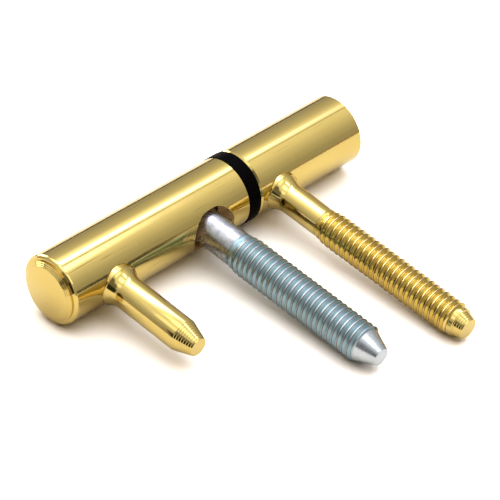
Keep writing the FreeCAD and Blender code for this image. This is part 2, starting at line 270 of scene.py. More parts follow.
def add_piece(name, skin, side, body, node, materials, paint=None, thread=None):
    """Mesh object that stands for a node. paint gives a material's index from a point in millimetres,
    and thread is the stretch of a screw whose crests stay rounded."""
    mesh = bpy.data.meshes.new(name)
    inverse = side.inverted()
    mesh.from_pydata([side @ Vector(point) for point in skin.points], [], skin.faces)
    builder = bmesh.new()
    builder.from_mesh(mesh)
    bmesh.ops.recalc_face_normals(builder, faces=builder.faces)
    for edge in builder.edges:
        outs = [-(inverse @ corner.co).y for corner in edge.verts]
        rounded = thread and thread[0] < min(outs) and max(outs) < thread[1]
        edge.smooth = edge.calc_face_angle(0.0) < (THREAD_SHARP_ANGLE if rounded else SHARP_ANGLE)
    builder.to_mesh(mesh)
    builder.free()
    mesh.shade_smooth()
    for material in materials:
        mesh.materials.append(material)
    if paint:
        for polygon in mesh.polygons:
            polygon.material_index = paint(inverse @ polygon.center)
    piece = bpy.data.objects.new(name, mesh)
    bpy.context.scene.collection.objects.link(piece)
    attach(piece, body)
    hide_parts(node)


def middle_column(facing):
    """Column of a barrel's wall in the middle of its front or its back."""
    return 0 if facing == FRONT else BARREL_COLUMNS // 2


def barrel_wall(skin, start, end, blocks):
    """Outer skin of a barrel from start to end. A block is (x, half width, holes), and holes gives for
    each facing the hole's reach from its centre by angle.
    Returns the first ring, the last ring and each hole's (angles, rim ring)."""
    stations = [start, start + EDGE]
    first_rows = {}
    for x, half, _ in blocks:
        first_rows[x] = len(stations)
        stations += [x + half * (2 * step / BLOCK_STEPS - 1) for step in range(BLOCK_STEPS + 1)]
    stations.append(end)

    open_cells = set()
    hidden = set()
    for x, _, holes in blocks:
        for facing in holes:
            first_row = first_rows[x]
            first_column = middle_column(facing) - BLOCK_COLUMNS
            for row in range(first_row, first_row + BLOCK_STEPS):
                for column in range(first_column, first_column + 2 * BLOCK_COLUMNS):
                    cell = (row, column % BARREL_COLUMNS)
                    open_cells.add(cell)
                    if row > first_row and column > first_column:
                        hidden.add(cell)

    grid = {}
    for row, x in enumerate(stations):
        for column in range(BARREL_COLUMNS):
            if (row, column) not in hidden:
                point = along_barrel(x, BARREL_RADIUS, TURN * column / BARREL_COLUMNS)
                grid[row, column] = skin.ring([point])[0]
    for row in range(len(stations) - 1):
        for column in range(BARREL_COLUMNS):
            if (row, column) not in open_cells:
                following = (column + 1) % BARREL_COLUMNS
                near = (grid[row, column], grid[row, following])
                far = (grid[row + 1, following], grid[row + 1, column])
                skin.faces.append(near + far)

    rims = []
    for x, _, holes in blocks:
        for facing, reach in holes.items():
            rims.append(hole_in_block(skin, grid, stations, first_rows[x], x, facing, reach))
    last_row = len(stations) - 1
    first_ring = [grid[0, column] for column in range(BARREL_COLUMNS)]
    last_ring = [grid[last_row, column] for column in range(BARREL_COLUMNS)]
    return first_ring, last_ring, rims


def hole_in_block(skin, grid, stations, first, x, facing, reach):
    """Rings from the edge of a block in to the bevelled rim of its hole, with the rim's angles."""
    last = first + BLOCK_STEPS
    side, steps = BLOCK_COLUMNS, BLOCK_STEPS
    loop = [(first + step, -side) for step in range(steps)]
    loop += [(last, step - side) for step in range(2 * side)]
    loop += [(last - step, side) for step in range(steps)]
    loop += [(first, side - step) for step in range(2 * side)]
    middle = middle_column(facing)
    edge = [grid[row, (middle + column) % BARREL_COLUMNS] for row, column in loop]
    corners = []
    for row, column in loop:
        turned = TURN * column / BARREL_COLUMNS
        corners.append((stations[row] - x, BARREL_RADIUS * math.sin(turned)))

    def on_barrel(a, b, depth=0.0):
        level = math.sqrt(BARREL_RADIUS ** 2 - b ** 2) - depth
        return (x + a, -facing * level, facing * b)

    angles = [math.atan2(b, a) for a, b in corners]
    previous = edge
    for step in range(1, BLOCK_RINGS + 1):
        share = step / BLOCK_RINGS
        points = []
        for (a, b), angle in zip(corners, angles):
            bevel = reach(angle) + EDGE
            points.append(on_barrel(
                a + (bevel * math.cos(angle) - a) * share,
                b + (bevel * math.sin(angle) - b) * share,
            ))
        ring = skin.ring(points)
        skin.join(previous, ring)
        previous = ring
    rim = skin.ring([
        on_barrel(reach(angle) * math.cos(angle), reach(angle) * math.sin(angle), EDGE) for angle in angles
    ])
    skin.join(previous, rim)
    ordered = sorted((facing * angle, index) for angle, index in zip(angles, rim))
    return [angle for angle, _ in ordered], [index for _, index in ordered]


def bore(skin, x, rim, steps):
    """Walls of a bore from its rim through (out, radius) steps. Returns the last ring."""
    angles, ring = rim
    place = across_barrel(x)
    for out, radius in steps:
        reach = reach_of(radius)
        following = skin.ring([place(out, reach(angle), angle) for angle in angles])
        skin.join(ring, following)
        ring = following
    return ring


def flare(shank):
    """Profile of a fixed pin's foot from its seat to the shank, as (out, radius)."""
    lip = shank + LIP_WIDTH
    lip_top = SEAT + LIP_HEIGHT
    points = [
        (SEAT, lip - LIP_EDGE),
        (SEAT + LIP_EDGE, lip),
        (lip_top - LIP_EDGE, lip),
        (lip_top, lip - LIP_EDGE),
    ]
    fall = LIP_WIDTH - LIP_STEP
    for step in range(FLARE_STEPS + 1):
        share = step / FLARE_STEPS
        points.append((lip_top + FLARE_LENGTH * share, shank + fall * (1 - share) ** 2))
    return points


def thread_height(turns):
    """Height of a rolled thread, 1 on its blunt crest and 0 in its sharp root, from a count of turns."""
    offset = 2 * abs(turns - round(turns))
    fall = math.hypot(offset, THREAD_EDGE) - THREAD_EDGE
    full_fall = math.hypot(1, THREAD_EDGE) - THREAD_EDGE
    return 1 - fall / full_fall


def rolled_thread(shank, crest, span, pitch, crest_at):
    """Rows of a thread that rises out of the shank and fades before the cone. One crest is at crest_at."""
    start, end = span
    rows = round((end - start) / pitch * ROWS_PER_PITCH)

    def row_radius(out):
        fade = max(0.0, min(1.0, (out - start) / THREAD_FADE_IN, (end - out) / THREAD_FADE_OUT))

        def radius(angle):
            height = thread_height((out - crest_at) / pitch - angle / TURN)
            return shank + fade * (crest - THREAD_DEPTH * (1 - height) - shank)

        return radius

    outs = [start + (end - start) * row / rows for row in range(rows + 1)]
    return [(out, row_radius(out)) for out in outs]


def thread_paint(x, span, pitch, crest_at):
    """Material index of a screw's face: plain before the thread, then the thread's hollow, painted darker
    as shade and, on brass, more saturated as light bounced between the flanks, a thin painted shade line
    just past the crest, a painted highlight on the crest, and the tip beyond the thread, painted lighter on
    the zinc screw."""
    start, end = span

    def paint(point):
        out = -point.y
        if out <= start:
            return PLAIN
        if out >= end:
            return TIP
        turns = (out - crest_at) / pitch - math.atan2(point.z, point.x - x) / TURN
        past_crest = (turns - round(turns)) * pitch
        # The crest gets a painted highlight, and a thin band just past it gets painted shade
        if PAINTED_CREST_HIGHLIGHT[0] < past_crest < PAINTED_CREST_HIGHLIGHT[1]:
            return CREST
        formed = start + THREAD_FADE_IN / 2 < out < end - THREAD_FADE_OUT
        return PAINTED_SHADE_LINE if formed and PAINTED_SHADE_SPAN[0] <= past_crest < PAINTED_SHADE_SPAN[1] else HOLLOW

    return paint


def tool_rings(first, last, rings):
    """Profile from one point to another with evenly spaced fine grooves that a turning tool left."""
    run, rise = last[0] - first[0], last[1] - first[1]
    length = math.hypot(run, rise)
    points = [first]
    for ring in range(rings):
        for offset, depth in ((-TOOL_WIDTH / 2, 0), (0, TOOL_DEPTH), (TOOL_WIDTH / 2, 0)):
            share = (ring + 0.5) / rings + offset / length
            inward = depth * abs(run) / length
            sideways = depth * rise / length * math.copysign(1, -run)
            points.append((first[0] + run * share - sideways, first[1] + rise * share - inward))
    return points + [last]


def blunt_cone(start, length, base, tip, rings=0):
    """Profile of a pin's cone with a small edge round its flat end."""
    slope = (base - tip) / length
    end = start + length
    return [*tool_rings((start, base), (end - EDGE, tip + slope * EDGE), rings), (end, tip - EDGE / 2)]


# Materials. Marks and scratches are counted per metre along X, Y and Z, and their depths are in metres.
WHITE = (1, 1, 1)
BLACK = (0, 0, 0)
EVENLY = (1, 1, 1)
MARKS_ALONG_BARREL = (60, 2500, 2500)
MARKS_ALONG_PIN = (2500, 60, 2500)
MARKS_ROUND_PIN = (4000, 120, 120)
MARKS_ROUND_RING = (3500, 40, 40)
FINE_MARKS = (2200, 2200, 2200)
MIDDLING_MARKS = (1500, 1500, 1500)
COARSE_MARKS = (900, 900, 900)
SCRATCHES_ALONG_BARREL = (70, 2600, 2600)
SCRATCHES_ALONG_PIN = (2600, 120, 2600)
NOISE_MIDDLE = (0.3, 0.7)
PATCHES = 90.0
PATCH_DETAIL = 3.0
SMUDGES_PER_PATCH = 4
METAL_MARK_DETAIL = 4.0
SCRATCH_COLOUR = (0.30, 0.20, 0.06)
SCRATCH_SHARE = 0.6
SCRATCH_NOISE = (0.66, 0.72)
SCRATCH_DETAIL = 2.0
PLASTIC_SPECULAR = 0.012
PLASTIC_SMUDGES = 500.0
PLASTIC_MARK_DETAIL = 2.0

# Sockets of the mix node when it blends colours
MIX_SHARE = 0
MIX_FIRST = 6
MIX_SECOND = 7
MIX_RESULT = 2


def principled(name):
    """New material with its nodes, its links and its shader."""
    material = bpy.data.materials.new(name)
    material.use_nodes = True
    nodes = material.node_tree.nodes
    return material, nodes, material.node_tree.links, nodes["Principled BSDF"]


def noise(nodes, links, scale, size, detail):
    """Noise over the object's own coordinates, stretched by scale along each axis."""
    place = nodes.new("ShaderNodeTexCoord")
    stretch = nodes.new("ShaderNodeMapping")
    stretch.inputs["Scale"].default_value = scale
    texture = nodes.new("ShaderNodeTexNoise")
    texture.inputs["Scale"].default_value = size
    texture.inputs["Detail"].default_value = detail
    links.new(place.outputs["Object"], stretch.inputs["Vector"])
    links.new(stretch.outputs["Vector"], texture.inputs["Vector"])
    return texture.outputs["Fac"]


def ranged(nodes, links, source, low, high, limits=NOISE_MIDDLE):
    """Source between its limits, spread over the range from low to high."""
    spread = nodes.new("ShaderNodeMapRange")
    spread.inputs["From Min"].default_value = limits[0]
    spread.inputs["From Max"].default_value = limits[1]
    spread.inputs["To Min"].default_value = low
    spread.inputs["To Max"].default_value = high
    links.new(source, spread.inputs["Value"])
    return spread.outputs["Result"]


def mixed(nodes, links, share, first, second):
    """Blend of two colours by a share. A colour is three numbers or another node's output."""
    mix = nodes.new("ShaderNodeMix")
    mix.data_type = "RGBA"
    links.new(share, mix.inputs[MIX_SHARE])
    for socket, colour in ((MIX_FIRST, first), (MIX_SECOND, second)):
        if isinstance(colour, tuple):
            mix.inputs[socket].default_value = (*colour, 1)
        else:
            links.new(colour, mix.inputs[socket])
    return mix.outputs[MIX_RESULT]


def add_marks(nodes, links, shader, streaks, detail, depth):
    """Fine marks in a shader's surface, stretched along each axis by streaks."""
    bump = nodes.new("ShaderNodeBump")
    bump.inputs["Distance"].default_value = depth
    links.new(noise(nodes, links, streaks, 1.0, detail), bump.inputs["Height"])
    links.new(bump.outputs["Normal"], shader.inputs["Normal"])


def metal(name, colours, roughness, streaks, depth, patches=PATCHES, metallic=1.0, scratches=None):
    """Plated metal: patchy colour and gloss, with fine marks stretched along the streaks and, on some
    pieces, dark scratches."""
    material, nodes, links, shader = principled(name)
    shader.inputs["Metallic"].default_value = metallic
    cloud = noise(nodes, links, EVENLY, patches, PATCH_DETAIL)
    colour = mixed(nodes, links, ranged(nodes, links, cloud, 0, 1), *colours)
    if scratches:
        lines = noise(nodes, links, scratches, 1.0, SCRATCH_DETAIL)
        worn = ranged(nodes, links, lines, 0, SCRATCH_SHARE, SCRATCH_NOISE)
        colour = mixed(nodes, links, worn, colour, SCRATCH_COLOUR)
    links.new(colour, shader.inputs["Base Color"])
    smudge = noise(nodes, links, EVENLY, SMUDGES_PER_PATCH * patches, PATCH_DETAIL)
    links.new(ranged(nodes, links, smudge, *roughness), shader.inputs["Roughness"])
    add_marks(nodes, links, shader, streaks, METAL_MARK_DETAIL, depth)
    return material


def plastic(name, colour, roughness, streaks, depth):
    """Dull plastic in one colour, with fine marks stretched along the streaks."""
    material, nodes, links, shader = principled(name)
    shader.inputs["Base Color"].default_value = (*colour, 1)
    shader.inputs["Specular IOR Level"].default_value = PLASTIC_SPECULAR
    smudge = noise(nodes, links, EVENLY, PLASTIC_SMUDGES, PATCH_DETAIL)
    links.new(ranged(nodes, links, smudge, *roughness), shader.inputs["Roughness"])
    add_marks(nodes, links, shader, streaks, PLASTIC_MARK_DETAIL, depth)
    return material


# Colours: each metal has two that its patches vary between, and the plastic has one
BRASS = ((0.69, 0.52, 0.166), (0.665, 0.495, 0.153))
# The bores' walls are painted paler than the barrel to lift their shade, and the mouth's wall paler still
# as painted light bounced in from the screw
BRASS_BORE_PAINTED_LIGHT = ((0.78, 0.56, 0.30), (0.70, 0.49, 0.25))
BRASS_MOUTH_PAINTED_LIGHT = ((0.94, 0.66, 0.33), (0.88, 0.60, 0.29))
# Brass thread colours are painted light: the hollow darker and more saturated as shade and bounced light,
# the crest lighter as a painted highlight, and a dark painted shade line past the crest
BRASS_THREAD_PAINTED_BOUNCE = ((0.63, 0.455, 0.09), (0.57, 0.37, 0.065))
BRASS_CREST_PAINTED_HIGHLIGHT = ((0.74, 0.58, 0.24), (0.70, 0.53, 0.20))
BRASS_PAINTED_SHADE_LINE = ((0.34, 0.20, 0.06), (0.24, 0.13, 0.04))
ZINC_PLAIN = ((0.55, 0.555, 0.57), (0.34, 0.345, 0.35))
# Zinc thread colours: the hollow keeps the zinc's blue tone but is painted darker than the plain zinc as
# shade, the crest is painted lighter as a highlight, and a dark painted shade line runs past the crest
ZINC_BLUE_PAINTED_SHADE = ((0.28, 0.40, 0.445), (0.25, 0.36, 0.37))
# The zinc cone's colour is a lighter copy of the plain zinc: painted light on the same plating
ZINC_TIP_PAINTED_LIGHTER = ((0.60, 0.64, 0.675), (0.50, 0.535, 0.56))
ZINC_CREST_PAINTED_HIGHLIGHT = ((0.41, 0.46, 0.49), (0.35, 0.395, 0.415))
ZINC_PAINTED_SHADE_LINE = ((0.17, 0.12, 0.08), (0.10, 0.07, 0.045))
STEEL = ((0.60, 0.60, 0.61), (0.52, 0.52, 0.54))
DARK_STEEL = ((0.10, 0.10, 0.105), (0.07, 0.07, 0.075))
SOOT = (0.0015, 0.0013, 0.0012)

brass_barrel = metal(
    "brass_barrel", BRASS, roughness=(0.07, 0.12), streaks=MARKS_ALONG_BARREL, depth=1.2e-6,
    scratches=SCRATCHES_ALONG_BARREL,
)
# Bore walls: rougher brass painted paler to lift their shade; the mouth's wall nearly matt and paler still,
# as painted light bounced in from the screw
brass_bore_painted_light = metal(
    "brass_bore_painted_light", BRASS_BORE_PAINTED_LIGHT, roughness=(0.22, 0.34), streaks=COARSE_MARKS, depth=4e-6, metallic=0.8,
)
brass_mouth_painted_light = metal(
    "brass_mouth_painted_light", BRASS_MOUTH_PAINTED_LIGHT, roughness=(0.2, 0.3), streaks=COARSE_MARKS, depth=1e-6, metallic=0.15,
)
brass_pin = metal(
    "brass_pin", BRASS, roughness=(0.08, 0.14), streaks=MARKS_ALONG_PIN, depth=1.2e-6,
    scratches=SCRATCHES_ALONG_PIN,
)
# Brass thread: painted highlight on the crest, painted shade and bounced light in the hollow, a painted
# shade line past the crest
brass_crest_painted_highlight = metal("brass_crest_painted_highlight", BRASS_CREST_PAINTED_HIGHLIGHT, roughness=(0.14, 0.22), streaks=FINE_MARKS, depth=2e-6)
brass_thread_painted_bounce = metal("brass_thread_painted_bounce", BRASS_THREAD_PAINTED_BOUNCE, roughness=(0.13, 0.22), streaks=FINE_MARKS, depth=3e-6)
brass_painted_shade_line = metal("brass_painted_shade_line", BRASS_PAINTED_SHADE_LINE, roughness=(0.3, 0.45), streaks=FINE_MARKS, depth=3e-6)
zinc_plain = metal(
    "zinc_plain", ZINC_PLAIN, roughness=(0.2, 0.38), streaks=FINE_MARKS, depth=6e-6, patches=700.0,
)
# Zinc thread: hollow painted darker as shade, crest painted lighter as a highlight, a painted shade line
# past the crest
zinc_blue_painted_shade = metal("zinc_blue_painted_shade", ZINC_BLUE_PAINTED_SHADE, roughness=(0.28, 0.4), streaks=FINE_MARKS, depth=3e-6)
# Smoother zinc for the cone, painted lighter than the shank
zinc_tip_painted_lighter = metal(
    "zinc_tip_painted_lighter", ZINC_TIP_PAINTED_LIGHTER, roughness=(0.16, 0.26), streaks=FINE_MARKS, depth=3e-6, patches=500.0,
)
zinc_crest_painted_highlight = metal("zinc_crest_painted_highlight", ZINC_CREST_PAINTED_HIGHLIGHT, roughness=(0.32, 0.44), streaks=FINE_MARKS, depth=3e-6)
zinc_painted_shade_line = metal("zinc_painted_shade_line", ZINC_PAINTED_SHADE_LINE, roughness=(0.3, 0.45), streaks=FINE_MARKS, depth=3e-6)
bright_steel = metal("bright_steel", STEEL, roughness=(0.14, 0.22), streaks=MARKS_ROUND_PIN, depth=1.5e-6)
dark_steel = metal("dark_steel", DARK_STEEL, roughness=(0.3, 0.42), streaks=MIDDLING_MARKS, depth=2e-6)
black_plastic = plastic("black_plastic", SOOT, roughness=(0.3, 0.4), streaks=MARKS_ROUND_RING, depth=2e-5)


def barrel_paint(point):
    """Material index of a barrel's face: polished outside, less polished and painted paler in the walls of
    its bores to lift their shade, and nearly matt and painted paler still in the wall of the adjusting
    screw's mouth, as painted light bounced in from the screw."""
    deep = math.hypot(point.y, point.z) < BARREL_RADIUS - POLISH_DEPTH
    on_end = min(abs(point.x), abs(point.x - FRAME_END)) < EDGE / 2
    at_left_end = point.x < GUIDE_X - 2 * GUIDE_RADIUS
    if not deep or on_end or at_left_end:
        return POLISHED
    mouth_half = BORE_RADIUS + MOUTH_WIDENING + EDGE
    in_mouth = -point.y > MOUTH_FLOOR and abs(point.x - ADJUSTER_X) < mouth_half
    return SATIN_PAINTED_LIGHT if in_mouth else BORED


# Pieces of the leaf side

def build_leaf_barrel():
    skin = Skin()
    chamfer_low = BARREL_RADIUS - END_CHAMFER
    step_low = chamfer_low - END_STEP[1]
    face_edge = step_low - END_CONE[1]
    cone_end = END_CONE[0] - LEAF_LENGTH
    step = cone_end + END_STEP[0]
    bevel = step + END_CHAMFER - END_BEVEL[1]
    wall_start = bevel + END_BEVEL[0]
    seat_radius = GUIDE_RADIUS + LIP_WIDTH + SEAT_CLEARANCE
    first, last, rims = barrel_wall(skin, wall_start, -EDGE, [
        (GUIDE_X, LEAF_BLOCK_HALF, {FRONT: round_hole(seat_radius)}),
        (ADJUSTER_X, LEAF_BLOCK_HALF, {FRONT: oblong_hole, BACK: round_hole(KEY_HOLE_RADIUS)}),
    ])
    face = skin.turn(along_barrel, [
        (bevel, BARREL_RADIUS - END_BEVEL[1]),
        (bevel - EDGE / 2, BARREL_RADIUS - END_BEVEL[1] - EDGE / 2),
        (step, chamfer_low),
        (step, step_low),
        *tool_rings((cone_end, step_low), (EDGE / 2 - LEAF_LENGTH, face_edge + EDGE / 2), END_RINGS),
        (-LEAF_LENGTH, face_edge - EDGE / 2),
    ], BARREL_COLUMNS)
    skin.join(first, face[0])
    skin.cap(face[-1])
    root = skin.turn(along_barrel, [
        (0, BARREL_RADIUS - EDGE),
        (0, PIN_ROOT_RADIUS),
        (PIN_ROOT, PIN_ROOT_RADIUS),
    ], BARREL_COLUMNS)
    skin.join(last, root[0])
    skin.cap(root[-1])
    seat, mouth, key_hole = rims
    skin.cap(bore(skin, GUIDE_X, seat, [
        (SEAT, seat_radius),
        (SEAT, SPIGOT_RADIUS),
        (SPIGOT_END, SPIGOT_RADIUS),
    ]))
    tunnel = bore(skin, ADJUSTER_X, mouth, [
        (MOUTH_FLOOR, oblong_hole),
        (MOUTH_FLOOR, BORE_RADIUS - RUNNING_GAP / 2),
        (GROOVE_SPAN[1], BORE_RADIUS - RUNNING_GAP / 2),
        (GROOVE_SPAN[1], GROOVE_RADIUS),
        (GROOVE_SPAN[0], GROOVE_RADIUS),
        (GROOVE_SPAN[0], BORE_RADIUS),
        (BORE_FLOOR, BORE_RADIUS),
        (BORE_FLOOR, KEY_HOLE_RADIUS),
    ])
    _, key_hole_rim = key_hole
    skin.join(tunnel, key_hole_rim)
    add_piece("long_barrel", skin, LEAF_SIDE, "leaf", "leaf_barrel",
              [brass_barrel, brass_bore_painted_light, brass_mouth_painted_light], barrel_paint)


def build_guide_pin():
    skin = Skin()
    skin.solid_turn(across_barrel(GUIDE_X), [
        (SPIGOT_END, SPIGOT_RADIUS),
        (SEAT, SPIGOT_RADIUS),
        *flare(GUIDE_RADIUS),
        *blunt_cone(GUIDE_CONE_START, *GUIDE_CONE, GUIDE_RINGS),
    ], PIN_COLUMNS)
    add_piece("smooth_pin", skin, LEAF_SIDE, "leaf", "guide_pin", [brass_pin])


def build_adjusting_screw():
    skin = Skin()
    start, end = ADJUSTER_SPAN
    back, front = HEAD_SPAN
    cone_length, cone_base, cone_tip = ADJUSTER_CONE
    socket = hexagon(SOCKET_WIDTH)
    skin.solid_turn(across_barrel(ADJUSTER_X), [
        (back + SOCKET_DEPTH, socket),
        (back, socket),
        (back, HEAD_RADIUS - EDGE),
        (back + EDGE, HEAD_RADIUS),
        (front, HEAD_RADIUS),
        (front, ADJUSTER_SHANK),
        (start - EDGE, ADJUSTER_SHANK),
        *rolled_thread(ADJUSTER_SHANK, ADJUSTER_THREAD, ADJUSTER_SPAN, ADJUSTER_PITCH, ADJUSTER_CREST),
        *blunt_cone(end + EDGE, cone_length - EDGE, cone_base, cone_tip),
    ], PIN_COLUMNS)
    paint = thread_paint(ADJUSTER_X, ADJUSTER_SPAN, ADJUSTER_PITCH, ADJUSTER_CREST)
    add_piece("zinc_screw", skin, LEAF_SIDE, "adjusting_screw", "adjusting_screw",
              [zinc_plain, zinc_blue_painted_shade, zinc_painted_shade_line, zinc_crest_painted_highlight, zinc_tip_painted_lighter], paint, ADJUSTER_SPAN)


def build_hinge_pin():
    skin = Skin()
    skin.solid_turn(along_barrel, [
        (PIN_ROOT, PIN_ROOT_RADIUS),
        (0, PIN_ROOT_RADIUS),
        (0, PIN_RADIUS),
        (PIN_END - PIN_EDGE, PIN_RADIUS),
        (PIN_END, PIN_RADIUS - PIN_EDGE),
        (PIN_END, PIN_SEAT_RADIUS),
        (PIN_END - PIN_SEAT_RADIUS + EDGE, EDGE),
    ], PIN_COLUMNS)
    add_piece("steel_pin", skin, LEAF_SIDE, "leaf", "hinge_pin", [bright_steel])


# Pieces of the frame side

def build_bearing_bush():
    skin = Skin()
    bore_radius = PIN_RADIUS + RUNNING_GAP
    low = RING_RADIUS - RING_ROUND
    left, right = RUNNING_GAP + RING_ROUND, RING_WIDTH - RING_ROUND
    arc = [QUARTER_TURN * step / ROUND_STEPS for step in range(ROUND_STEPS + 1)]
    rise = [(RUNNING_GAP + RING_ROUND * (1 - math.cos(a)), low + RING_ROUND * math.sin(a)) for a in arc]
    lines = tool_rings((left, RING_RADIUS), (right, RING_RADIUS), RING_LINES)
    fall = [(RING_WIDTH - RING_ROUND * (1 - math.sin(a)), low + RING_ROUND * math.cos(a)) for a in arc]
    rings = skin.turn(along_barrel, [
        (BUSH_END, bore_radius),
        (RUNNING_GAP, bore_radius),
        *rise,
        *lines[1:-1],
        *fall,
        (RING_WIDTH, BUSH_RADIUS),
        (BUSH_END, BUSH_RADIUS),
    ], BARREL_COLUMNS)
    skin.join(rings[-1], rings[0])
    add_piece("ring_bush", skin, FRAME_SIDE, "frame", "bearing_bush", [black_plastic])


def build_frame_barrel():
    skin = Skin()
    seat_radius = FRAME_SHANK + LIP_WIDTH + SEAT_CLEARANCE
    first, last, rims = barrel_wall(skin, RING_WIDTH + FRAME_CHAMFER[0], FRAME_END - EDGE, [
        (FRAME_SCREW_X, FRAME_BLOCK_HALF, {FRONT: round_hole(seat_radius)}),
    ])
    inside = skin.turn(along_barrel, [
        (FRAME_END, BARREL_RADIUS - EDGE),
        (FRAME_END, HEIGHT_BORE_RADIUS + EDGE),
        (FRAME_END - EDGE, HEIGHT_BORE_RADIUS),
        (HEIGHT_BORE_START, HEIGHT_BORE_RADIUS),
        (HEIGHT_BORE_START, BUSH_RADIUS),
        (RING_WIDTH, BUSH_RADIUS),
        (RING_WIDTH, BARREL_RADIUS - FRAME_CHAMFER[1]),
    ], BARREL_COLUMNS)
    skin.join(last, inside[0])
    skin.join(inside[-1], first)
    skin.cap(bore(skin, FRAME_SCREW_X, rims[0], [(SEAT, seat_radius)]))
    add_piece("short_barrel", skin, FRAME_SIDE, "frame", "frame_barrel",
              [brass_barrel, brass_bore_painted_light], barrel_paint)


def build_frame_screw():
    skin = Skin()
    start, end = FRAME_SPAN
    tip = end + FRAME_TIP
    neck_length, neck_radius = FRAME_NECK
    collar_length, collar_radius = FRAME_COLLAR
    skin.solid_turn(across_barrel(FRAME_SCREW_X), [
        *flare(FRAME_SHANK),
        (start - EDGE, FRAME_SHANK),
        *rolled_thread(FRAME_SHANK, FRAME_THREAD, FRAME_SPAN, FRAME_PITCH, FRAME_CREST),
        (end + neck_length / 2, neck_radius),
        (end + neck_length, neck_radius),
        (end + neck_length + EDGE, collar_radius),
        (end + neck_length + collar_length, collar_radius - EDGE / 2),
        *blunt_cone(tip - FRAME_CONE[0], *FRAME_CONE, FRAME_RINGS),
    ], PIN_COLUMNS)
    paint = thread_paint(FRAME_SCREW_X, FRAME_SPAN, FRAME_PITCH, FRAME_CREST)
    add_piece("brass_screw", skin, FRAME_SIDE, "frame", "frame_screw",
              [brass_pin, brass_thread_painted_bounce, brass_painted_shade_line, brass_crest_painted_highlight, brass_pin], paint, FRAME_SPAN)


def build_thrust_button():
    skin = Skin()
    skin.solid_turn(along_barrel, [
        (BUTTON_TIP + EDGE, EDGE),
        (BUTTON_NECK, BUTTON_RADIUS),
        (BUTTON_BACK - EDGE, BUTTON_RADIUS),
        (BUTTON_BACK, BUTTON_RADIUS - EDGE),
    ], PIN_COLUMNS)
    add_piece("steel_button", skin, FRAME_SIDE, "thrust_button", "thrust_button",
              [bright_steel])


def build_height_screw():
    skin = Skin()
    left, right = HEIGHT_SCREW_SPAN
    low = HEIGHT_SCREW_RADIUS - HEIGHT_SCREW_CHAMFER
    socket = hexagon(SOCKET_WIDTH)
    skin.solid_turn(along_barrel, [
        (left, low),
        (left + HEIGHT_SCREW_CHAMFER, HEIGHT_SCREW_RADIUS),
        (right - HEIGHT_SCREW_CHAMFER, HEIGHT_SCREW_RADIUS),
        (right, low),
        (right, socket),
        (right - HEIGHT_SOCKET_DEPTH, socket),
    ], PIN_COLUMNS)
    add_piece("socket_screw", skin, FRAME_SIDE, "height_screw", "height_screw",
              [dark_steel])


build_leaf_barrel()
build_guide_pin()
build_adjusting_screw()
build_hinge_pin()
build_bearing_bush()
build_frame_barrel()
build_frame_screw()
build_thrust_button()
build_height_screw()
clip = frame["nodes"]["retaining_clip"]
clip.data.materials.clear()
clip.data.materials.append(dark_steel)

# Floor, light and camera, in metres
FLOOR_HALF = 4
FLOOR_LEVEL = -0.00002
PAPER = (0.95, 0.94, 0.93)
PAPER_IN_METAL = (0.58, 0.575, 0.56)
PAPER_ROUGHNESS = 0.8
PAPER_SPECULAR = 0.1

EXPOSURE = 1.18
COOL = (1.0, 1.0, 2.1)
FAINTLY_COOL = (1.0, 1.0, 1.35)

# Softboxes: name, centre, half sizes, turn in degrees, level, softness of the edges and tint
SOFTBOXES = (
    ("wide_light", (0.2, 0.574, 1.0), (0.9, 0.49), -14.5, 1.78, 1.0, WHITE),
    ("key_light", (0.351, 0.361, 1.001), (0.6, 0.162), -6.6, 2.2, 0.6, COOL),
    ("fill_light", (0.475, -0.1, 1.002), (0.23, 0.268), 0.0, 3.65, 0.93, FAINTLY_COOL),
    ("top_light", (-0.14, -0.04, 1.003), (0.34, 0.34), 0.0, 2.0, 0.8, WHITE),
)

# Cards that the metal reflects: name, stance, centre, half sizes and level of glow. The one beside the
# camera is turned about the upright axis with its centre.
CARDS = (
    ("side_card", "beside_camera", (0, -0.75, 0.36), (0.33, 0.36), 0.22),
    ("white_card", "upright", (0.05, 0.6, 0.21), (0.2, 0.19), 7.0),
    ("front_card", "towards_hinge", (0.07, -0.6, 0.76), (0.3, 0.26), 2.0),
    ("back_card", "upright", (0.18, 0.16, 0.009), (0.24, 0.009), 0.08),
    ("table_card", "upright", (0.142, -0.24, 0.022), (0.025, 0.022), 0.1),
    ("left_card", "sideways", (-0.19, -0.0425, 0.038), (0.0775, 0.038), 0.03),
    ("lamp_card", "towards_hinge", (-0.6, 0.08, 0.72), (0.15, 0.15), 1.7),
    ("lamp_bar", "flat", (0.72, 0.1, 0.99), (0.2, 0.03), 0.7),
)
BESIDE_CAMERA = math.radians(-66)
CAMERA_CARD_HALF = (0.09, 0.14)
CAMERA_CARD_LEVEL = 0.2

# The room that the metal reflects, as (sine of the height, level). It turns reddish at the horizon.
SKY_STEPS = (
    (0.0, 0.36), (0.12, 0.41), (0.25, 0.42), (0.4, 0.52), (0.5, 0.57),
    (0.6, 0.69), (0.7, 0.79), (0.8, 1.03), (0.9, 0.97), (1.0, 0.93),
)
NEW_STEP_PLACE = 0.5
HORIZON_TINT = (1.0, 0.78, 0.68)

# The light that matt surfaces get: brightest and white towards one direction, and warmer away from it
DOME_LEVEL = 4.4
DOME_EDGE = 0.2
DOME_TOWARDS = (0.34, 0.27, 0.88)
DOME_TINT = (1.0, 0.56, 0.14)
DOME_WHITE = 0.85

# What the camera sees, and where it stands
BACKDROP = (0.95, 0.95, 0.95)
VIEW_AZIMUTH = math.radians(-48.514)
VIEW_ELEVATION = math.radians(38.654)
VIEW_ROLL = math.radians(4.812)
VIEW_DISTANCE = 0.689145
VIEW_TARGET = (0.0, 0.0271788, 0.00015)
VIEW_SLIDE = (0.012124, -0.002798)
VIEW_LENS = 229.803
SENSOR_WIDTH = 36.0


